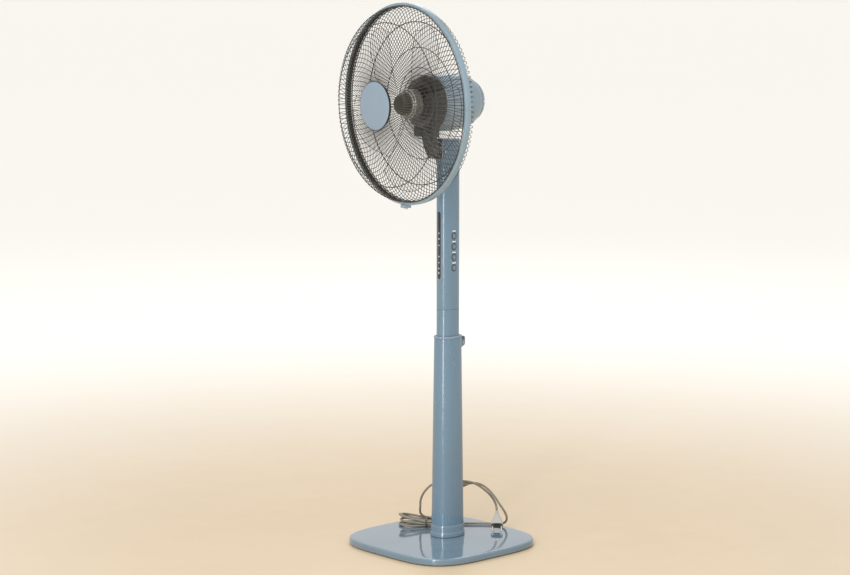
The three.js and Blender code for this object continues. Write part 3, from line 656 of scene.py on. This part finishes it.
lever_outline = spline([
    (LEVER_Y - 3.0, LEVER_Z - 2.6), (LEVER_Y + 2, LEVER_Z - 4.4), (LEVER_Y + 6, LEVER_Z - 3.3),
    (LEVER_Y + 8.7, LEVER_Z + 1), (LEVER_Y + 9.2, LEVER_Z + 8), (LEVER_Y + 7.6, LEVER_Z + 12.8),
    (LEVER_Y + 6.4, LEVER_Z + 12.2), (LEVER_Y + 7.1, LEVER_Z + 7.5), (LEVER_Y + 5, LEVER_Z + 3.9),
    (LEVER_Y + 1, LEVER_Z + 4.2), (LEVER_Y - 3.0, LEVER_Z + 3.9)], 5)
lever = add("height_lever_shell", prism([tuple(p) for p in lever_outline], -6.1, 6.1, across_x))
carve(lever, [prism(circle(LEVER_Y, LEVER_Z, 1.8, 24), -20, 20, across_x)])
bevelled(lever, 0.7)
latch = add("height_lever_latch", block((-2.9, 29.5, LEVER_Z + 4.4), (2.9, LEVER_Y + 3, LEVER_Z + 7.8)))
bevelled(latch, 0.4)
finish_piece(lever, SHELL_HEAD, "height_lever", ("height_lever",))
finish_piece(latch, SHELL_HEAD, "height_lever")
wall_y = pole_at(LEVER_Z)[1] + GAP
bracket = add("lever_bracket_shell", block((-11, wall_y, LEVER_Z - 10), (11, wall_y + 2, LEVER_Z - 6)))
cheeks = [add(f"lever_cheek_{side + 1}", prism(
    [tuple(p) for p in soften([(wall_y, LEVER_Z - 9), (LEVER_Y + 2, LEVER_Z - 7), (LEVER_Y + 5, LEVER_Z - 3),
                               (LEVER_Y + 5, LEVER_Z + 5), (wall_y, LEVER_Z + 5)], 2.4, 4, loop=True)],
    x - 1.4, x + 1.4, across_x)) for side, x in enumerate((-LEVER_HALF - 2.5, LEVER_HALF + 2.5))]
finish_piece(bevelled(bracket, 0.5), SHELL_HEAD, "base", ("lever_bracket",))
for cheek in cheeks:
    finish_piece(bevelled(cheek, 0.4), SHELL_HEAD, "base")

# ---------------------------------------------------------------- mast and controls
a, b = MAST
slide_rings = soften([(a, b, 130), (a, b, SEAM), (a - WALL, b - WALL, SEAM), (a - WALL, b - WALL, 130)],
                     0.5, 3, loop=True)
finish_piece(add("slide_pole_shell", loft(slide_rings, loop=True, count=160)), SHELL, "mast",
             ("slide_pole",))


def skin(outer, inner, low, high):
    return loft([(a + outer, b + outer, low), (a + outer, b + outer, high), (a + inner, b + inner, high),
                 (a + inner, b + inner, low)], loop=True, count=320)


def inlay(name, outer, inner, outline, centre, from_side, material, body, stands_for=(), edge=0.25):
    """A piece of the mast's own curve, cut out by an outline on its front or on its +X side."""
    if from_side:
        shape = prism([(u, v + centre) for u, v in outline], 8, 60, across_x)
    else:
        shape = prism([(u, v + centre) for u, v in outline], -60, -12, across_y)
    tall = max(v for _, v in outline) + 4
    obj = carve(add(name, skin(outer, inner, centre - tall, centre + tall)), [shape], "INTERSECT")
    if edge:
        bevelled(obj, edge, 2, 50)
    return finish_piece(obj, material, body, stands_for, sharp=30)


button_heights = [BUTTON_FIRST - i * BUTTON_PITCH for i in range(BUTTON_COUNT)]
strip_middle, strip_half = (STRIP_LOW + STRIP_HIGH) / 2, (STRIP_HIGH - STRIP_LOW) / 2
housing_rings = [(a - WALL - 6, b - WALL - 6, MAST_TOP - WALL)]
housing_rings += [tuple(p) for p in soften([
    (a - WALL, b - WALL, MAST_TOP - WALL), (a - WALL, b - WALL, SEAM + GAP), (a, b, SEAM + GAP),
    (a, b, MAST_TOP), (a - 6, b - 6, MAST_TOP)], 0.7, 4)]
housing = add("control_housing_shell", loft(housing_rings, count=320))
cutters = [prism([(u, v + strip_middle) for u, v in pill(STRIP_WIDTH / 2 + GAP, strip_half + GAP)],
                 -60, -10, across_y)]
for height in button_heights:
    cutters.append(prism([(u, v + height) for u, v in pill(*BUTTON_HOLE)], 10, 60, across_x))
cutters.append(lathe([(0, 850), (SHAFT_HOLE, 850), (SHAFT_HOLE, 865), (0, 865)], 48, upright=True))
carve(housing, cutters)
finish_piece(housing, SHELL, "mast", ("control_housing",), sharp=30)

inlay("window_pane", -0.25, -2.4, pill(STRIP_WIDTH / 2, strip_half), strip_middle, False, WINDOW,
      "mast", ("display_window",))
for i, height in enumerate([706.0, 693.5, 679.0, 654.0, 640.5, 627.5, 617.0]):
    bright = height == 617.0
    outline = pill(1.0, 2.1) if bright else rectangle(1.6, 1.3)
    inlay(f"lamp_mark_{i + 1}", -0.12, -0.6, outline, height, False, LAMP_BRIGHT if bright else LAMP,
          "mast", edge=0)
for i, height in enumerate(button_heights):
    inlay(f"button_cap_{i + 1}", 0.85, -2.4, pill(*BUTTON_CAP), height, True, SHELL,
          f"button_{i + 1}", (f"button_{i + 1}",), edge=0.45)
    ring = skin(0.12, -0.9, height - 12, height + 12)
    shape = prism([(u, v + height) for u, v in pill(*BEZEL_OUTSIDE)], 8, 60, across_x)
    hole = prism([(u, v + height) for u, v in pill(*BEZEL_INSIDE)], 6, 62, across_x)
    bezel = carve(add(f"button_bezel_{i + 1}", ring), [shape], "INTERSECT")
    carve(bezel, [hole])
    finish_piece(bezel, DARK_MATT, "mast", sharp=30)
    inlay(f"label_bar_{i + 1}", 0.06, -0.4, rectangle(*LABEL_HALF), height + 11.0, True, PRINT,
          "mast", edge=0)

# ---------------------------------------------------------------- neck
foot_z = MAST_TOP + 0.6
neck_outside = [(a + 0.6, b + 0.5, foot_z, -0.5), (a + 0.6, b + 1.5, 875, -1.5),
                (a + 0.6, b + 2, NECK_TOP - 4, -2), (a - 1.5, b, NECK_TOP, -2)]
neck_full = soften([(10, 14, foot_z, 0), *neck_outside, (10, 14, NECK_TOP, -1)], 1.2, 4)
neck = add("neck_shell", loft(neck_full, count=160))
hollow = loft([(17.5, 24.5, foot_z + 4, 0), (17.5, 24.5, NECK_TOP - 3, 0)], count=160)
pin_hole = prism(circle(TILT_Y, TILT_Z, 3.3, 32), -40, 40, across_x)
drains = [block((x - 1.4, -60, 862), (x + 1.4, -22, 868)) for x in (-3.5, 3.5)]
carve(neck, [hollow, block((-12, -60, 873), (12, -10, NECK_TOP + 5)), pin_hole,
             lathe([(0, 850), (SHAFT_HOLE, 850), (SHAFT_HOLE, 870), (0, 870)], 48, upright=True), *drains])
neck.data.transform(Matrix.Rotation(HEAD_TURN, 4, "Z"))
finish_piece(neck, SHELL, "neck", ("neck_housing",), sharp=30)


# ---------------------------------------------------------------- head
def head_piece(name, part, material, stands_for=(), body="head", sharp=38, on_axis=True):
    return finish_piece(add(name, in_head(part, on_axis)), material, body, stands_for, sharp)


tongue = soften([(-11.6, 882), (-14, 878), (-26, 876), (-40, 878), (-60, 906), (-58, 921.3), (-44, 921.3),
                 (-32, 902), (-14, 898), (-11.6, 894)], 1.6, 4, loop=True)
chin = soften([(-33.5, 882), (-36, 874), (-42, 872), (-56, 900), (-60, 921.3), (-44, 921.3)], 2.0, 4,
              loop=True)
bracket_part = merged(prism([tuple(p) for p in tongue], -10, 10, across_x),
                      prism([tuple(p) for p in chin], -17.5, 17.5, across_x))
tilt = add("tilt_bracket_shell", in_head(bracket_part, False))
bevelled(tilt, 0.8)
finish_piece(tilt, DARK, "head", ("tilt_bracket",))
ribs = []
for x in (-13, -6.5, 0, 6.5, 13):
    ribs.append(prism([(-42.0, 873.0), (-56.0, 899.5), (-59.6, 920.5), (-61.0, 920.5), (-57.4, 898.5),
                       (-43.2, 871.6)], x - 0.8, x + 0.8, across_x))
rib_piece = add("tilt_bracket_ribs", in_head(merged(*ribs), False))
finish_piece(rib_piece, DARK, "head")


def cover_ripple(angles, r, along):
    """Shallow ribs on the sloping part of the motor's front."""
    if 47 < r < 58 and along > 60:
        return 0.7 * np.sign(np.sin(angles * 36))
    return np.zeros(len(angles))


nose = soften([(9, 84), (25, 84), (25, 78), (46, 76), (57, 70), (61, 62), (61, 50.3), (58, 50.3),
               (58, 59), (54, 67), (44, 72), (9, 73)], 1.6, 4, loop=True)
cover = add("motor_front_shell", in_head(lathe(nose, 216, loop=True, ripple=cover_ripple)))
finish_piece(cover, DARK, "head", ("motor_front_cover",))
chin_block = [tuple(p) for p in soften([(-34, -74.2), (34, -74.2), (34, -50), (-34, -50)], 3.0, 5, loop=True)]
chin_box = add("motor_chin", in_head(prism(chin_block, -68.9, -50.4, across_y)))
carve(chin_box, [in_head(lathe([(0, 30), (58.2, 30), (58.2, 62), (54, 67.5), (44, 72.5), (0, 73)], 96))])
bevelled(chin_box, 1.0)
finish_piece(chin_box, DARK, "head")

outer = [(58, 50), (61, 50), (63, 48), (64, 5), (61, -32), (55, -48), (49.5, -56)]
crown = [(46.5, -57.5), (44.5, -66), (38, -73.5), (22, -78), (0, -79.5)]
inner = [(0, -76.5), (21, -75.2), (35.5, -71), (41.5, -64.5), (43.5, -55.5), (51, -46), (56, -31), (60, 5),
         (58, 46)]
rear_profile = soften(outer + crown + inner, 2.6, 4, loop=True)
rear_profile[:, 0] = np.maximum(rear_profile[:, 0], 0)
rear = add("motor_rear_shell", in_head(lathe(rear_profile, 160, loop=True)))
vents = []
for i in range(MOTOR_SLOTS):
    slot_block = block((-1.2, 62, 30), (1.2, 82, 50))
    vents.append(in_head(turned_about_axis(slot_block, i / MOTOR_SLOTS * 2 * math.pi)))
carve(rear, vents)
finish_piece(rear, SHELL_HEAD, "head", ("motor_rear_cover",), sharp=30)


def knurl(angles, r, along):
    return 0.9 * np.cos(angles * 24) if r > 38 else np.zeros(len(angles))


nut_profile = soften([(25.7, 80.9), (39, 80.9), (39, 87.8), (25.7, 87.8)], 0.8, 3, loop=True)
head_piece("guard_nut_shell", lathe(nut_profile, 192, loop=True, ripple=knurl), DARK,
           ("guard_nut",))

# ---------------------------------------------------------------- guards
WIRES = 120
WIRE_RADIUS = 0.72
FRONT_WIRE = [(213.2, 123.5), (212.4, 133), (207, 146), (195, 158.5), (170, 174), (122, 189), (75, 196.5),
              (50, 197.6)]
REAR_WIRE = [(213.2, 109), (211.6, 99), (204, 90), (180, 84), (130, 77), (90, 74), (68, 75.5), (50, 78.5)]


def wire_fan(path, count, radius, phase=0.0, sides=6):
    smooth = spline(path, 4)
    line = np.stack([np.zeros(len(smooth)), -smooth[:, 1], smooth[:, 0]], 1)
    bar = sweep(line, radius, sides)
    return merged(*[turned_about_axis(bar, (i + phase) / count * 2 * math.pi) for i in range(count)])


def hoop(r, along, radius, segments=180, sides=8):
    angles = np.arange(sides) / sides * 2 * math.pi
    profile = [(r + radius * math.cos(t), along + radius * math.sin(t)) for t in angles]
    return lathe(profile, segments, loop=True)


front_parts = [wire_fan(FRONT_WIRE, WIRES, WIRE_RADIUS)]
front_parts += [hoop(213.4, 124.3, 1.2), hoop(178, 168.4, 1.0)]
head_piece("front_guard_wires", merged(*front_parts), WIRE, ("front_guard",))
rear_hoops = [hoop(213.0, 107.6, 1.3), hoop(178, 85.2, 1.1), hoop(122, 77.6, 0.9), hoop(78, 76.2, 0.9),
              hoop(62, 77.8, 1.0), hoop(52, 78.4, 1.5)]
rear_parts = [wire_fan(REAR_WIRE, WIRES, WIRE_RADIUS, 0.5), *rear_hoops]
head_piece("rear_guard_wires", merged(*rear_parts), WIRE_REAR, ("rear_guard",))
plate_profile = soften([(26.5, 78.3), (49, 78.3), (51, 77.0), (51, 80.4), (26.5, 80.4)], 0.5, 3, loop=True)
head_piece("rear_guard_plate", lathe(plate_profile, 144, loop=True), WIRE_REAR)
collar_profile = soften([(40, 194.2), (50.6, 194.2), (50.6, 198.8), (40, 198.8)], 0.7, 3, loop=True)
head_piece("front_guard_collar", lathe(collar_profile, 144, loop=True), DARK)

r0 = RING_RADIUS
band = soften([(r0, RING_REAR), (r0, RING_FRONT), (r0 - 6.5, RING_FRONT), (r0 - 6.5, RING_FRONT - 1.6),
               (r0 - 2.5, RING_FRONT - 2), (r0 - 2.5, RING_REAR + 2), (r0 - 5.4, RING_REAR + 1.6),
               (r0 - 5.4, RING_REAR)], 0.8, 3, loop=True)
head_piece("guard_band", lathe(band, 288, loop=True), SHELL_HEAD, ("guard_ring",))
# The dark band inside the ring's channel is painted shade: it stands for the shadow on the ring's inner face,
# not for a real lining.
painted_shade_band = soften([(r0 - 2.7, RING_REAR + 2.2), (r0 - 2.7, RING_FRONT - 2.2), (r0 - 3.7, RING_FRONT - 2.2),
                 (r0 - 3.7, RING_REAR + 2.8), (r0 - 6.1, RING_REAR + 2.8), (r0 - 6.1, RING_REAR - 0.3),
                 (r0 - 5.6, RING_REAR - 0.3), (r0 - 5.6, RING_REAR + 2.2)], 0.25, 2, loop=True)
head_piece("guard_band_painted_shade", lathe(painted_shade_band, 288, loop=True), DARK)
badge_profile = soften([(0, 199.4), (51.6, 199.4), (52.4, 200.4), (51.8, 201.7), (44, 202.9), (30, 203.6),
                        (0, 204)], 1.2, 4)
head_piece("badge_disc", lathe(badge_profile, 192), SHELL_BADGE, ("guard_badge",))
badge_edge = soften([(50.5, 199.0), (53.4, 199.0), (53.4, 200.9), (52.5, 201.3), (52.2, 199.6)], 0.3, 2,
                    loop=True)
head_piece("badge_edge", lathe(badge_edge, 192, loop=True), DARK)

clip = frame["nodes"]["guard_clip"]
for holder in clip.material_slots:
    holder.material = SHELL_HEAD

# ---------------------------------------------------------------- fan blades
HUB, TIP, BLADES = 33.0, 190.0, 5


def blade(thickness=1.1, along=40, across=20):
    """One blade as a part, and the line of its free edge."""
    rows = []
    for side in (0, 1):
        for i in range(along + 1):
            t = i / along
            radius = (HUB - 3) + (TIP - HUB + 3) * t
            half = math.radians(21 + 7 * math.sin(t * math.pi * 0.8))
            sweep_back = math.radians(-14 * t)
            rise = 10 + 11 * math.sqrt(t)
            for j in range(across + 1):
                s = j / across * 2 - 1
                corner = 1 - 0.16 * max(0, t - 0.8) * 5 * s * s
                angle = sweep_back + half * s
                depth = rise * s - 5 * (1 - s * s) + (thickness if side else 0)
                rows.append((radius * corner * math.cos(angle), -113 + depth,
                             radius * corner * math.sin(angle)))
    row, layer = across + 1, (across + 1) * (along + 1)
    at = lambda side, i, j: side * layer + i * row + j
    faces = []
    for i in range(along):
        for j in range(across):
            faces.append((at(0, i, j), at(0, i + 1, j), at(0, i + 1, j + 1), at(0, i, j + 1)))
            faces.append((at(1, i, j), at(1, i, j + 1), at(1, i + 1, j + 1), at(1, i + 1, j)))
        faces.append((at(0, i, 0), at(1, i, 0), at(1, i + 1, 0), at(0, i + 1, 0)))
        faces.append((at(0, i, across), at(0, i + 1, across), at(1, i + 1, across), at(1, i, across)))
    for j in range(across):
        faces.append((at(0, 0, j), at(0, 0, j + 1), at(1, 0, j + 1), at(1, 0, j)))
        faces.append((at(0, along, j), at(1, along, j), at(1, along, j + 1), at(0, along, j + 1)))
    verts = np.array(rows)
    loop_index = ([at(0, 2, 0)] + [at(0, i, 0) for i in range(3, along + 1)]
                  + [at(0, along, j) for j in range(1, across + 1)]
                  + [at(0, i, across) for i in range(along - 1, 1, -1)])
    edge_line = verts[loop_index] + np.array([0, thickness / 2, 0])
    return (verts, faces), edge_line


one_blade, blade_edge = blade()
blades = [turned_about_axis(one_blade, i / BLADES * 2 * math.pi) for i in range(BLADES)]
smooth_edge = spline(blade_edge, 2)
edges = [turned_about_axis(sweep(smooth_edge, 0.6, 6), i / BLADES * 2 * math.pi) for i in range(BLADES)]
hub_profile = soften([(4.3, 118), (HUB - 6, 118), (HUB, 112), (HUB, 93), (HUB - 3, 93), (HUB - 3, 110),
                      (12, 112), (12, 93), (4.3, 93)], 1.2, 4, loop=True)
head_piece("fan_blades", merged(*blades), BLADE, ("fan_blade",), body="rotor", sharp=60)
head_piece("fan_blade_edges", merged(*edges), BLADE_EDGE, body="rotor", sharp=60)
head_piece("fan_hub", lathe(hub_profile, 144, loop=True), HUB_SMOKE, body="rotor")
# The two pale hoops on the hub are painted highlights: they stand for the bright edges that light makes on
# the clear hub.
hub_highlight_hoops = merged(hoop(32.0, 113.2, 0.9, 96), hoop(28.0, 117.4, 0.8, 96))
head_piece("fan_hub_painted_highlights", hub_highlight_hoops, PALE, body="rotor")


def grip(angles, r, along):
    return 0.7 * np.cos(angles * 18) if r > 21 else np.zeros(len(angles))


spinner_profile = soften([(4.3, 118.4), (21.8, 118.4), (21.8, 130), (19.8, 136), (12.5, 139), (0, 140),
                          (0, 126), (4.3, 126)], 1.4, 4, loop=True)
spinner_profile[:, 0] = np.maximum(spinner_profile[:, 0], 0)
head_piece("spinner_cap", lathe(spinner_profile, 180, loop=True, ripple=grip), DARK_MATT,
           ("spinner",), body="rotor")

# ---------------------------------------------------------------- floor and light
floor_mesh = mesh_of("floor", block((-60000, -60000, -20), (60000, 60000, 0)))
floor = bpy.data.objects.new("floor", floor_mesh)
bpy.context.scene.collection.objects.link(floor)
floor_paint = surface("floor_paint", srgb(207, 186, 155), 0.45, spread=0.015, rough_spread=0.05, bump=0.02,
                      patch=2.0, grain=80.0)
floor.data.materials.append(floor_paint)
paint = floor_paint.node_tree
distance = paint.nodes.new("ShaderNodeVectorMath")
distance.operation = "LENGTH"
paint.links.new(paint.nodes["Texture Coordinate"].outputs["Object"], distance.inputs[0])
fade = paint.nodes.new("ShaderNodeMapRange")
fade.interpolation_type = "SMOOTHSTEP"
fade.inputs["From Min"].default_value = 0.3
fade.inputs["From Max"].default_value = 3.2
paint.links.new(distance.outputs["Value"], fade.inputs["Value"])
paler = paint.nodes.new("ShaderNodeMix")
paler.data_type = "RGBA"
paler.inputs[7].default_value = (*srgb(252, 250, 245), 1)
painted = paint.nodes["Principled BSDF"].inputs["Base Color"]
paint.links.new(painted.links[0].from_socket, paler.inputs[6])
paint.links.new(fade.outputs["Result"], paler.inputs["Factor"])
paint.links.new(paler.outputs[2], painted)

world = bpy.data.worlds.new("studio")
world.use_nodes = True
world.node_tree.nodes["Background"].inputs["Color"].default_value = (1.0, 0.985, 0.96, 1)
world.node_tree.nodes["Background"].inputs["Strength"].default_value = 0.8
bpy.context.scene.world = world
bpy.context.scene.view_settings.view_transform = "Standard"


def area(name, place, target, size, power, colour=(1, 1, 1)):
    """A soft light that isn't itself seen."""
    data = bpy.data.lights.new(name, "AREA")
    data.shape = "RECTANGLE"
    data.size, data.size_y = size
    data.energy = power
    data.color = colour
    lamp = bpy.data.objects.new(name, data)
    lamp.location = place
    lamp.rotation_euler = (Vector(target) - Vector(place)).to_track_quat("-Z", "Y").to_euler()
    lamp.visible_camera = False
    bpy.context.scene.collection.objects.link(lamp)


area("key", (3.0, -3.4, 3.2), (0, 0, 0.7), (0.9, 0.9), 42, (1.0, 0.98, 0.95))
area("strip", (1.75, -3.03, 1.0), (0, 0, 0.7), (0.42, 2.2), 54)
area("back", (-2.6, 2.6, 3.0), (0, 0, 0.8), (1.6, 1.6), 24)
sun_data = bpy.data.lights.new("sky", "SUN")
sun_data.energy = 0.8
sun_data.angle = math.radians(40)
sun = bpy.data.objects.new("sky", sun_data)
sun.rotation_euler = (math.radians(25), math.radians(12), 0)
bpy.context.scene.collection.objects.link(sun)
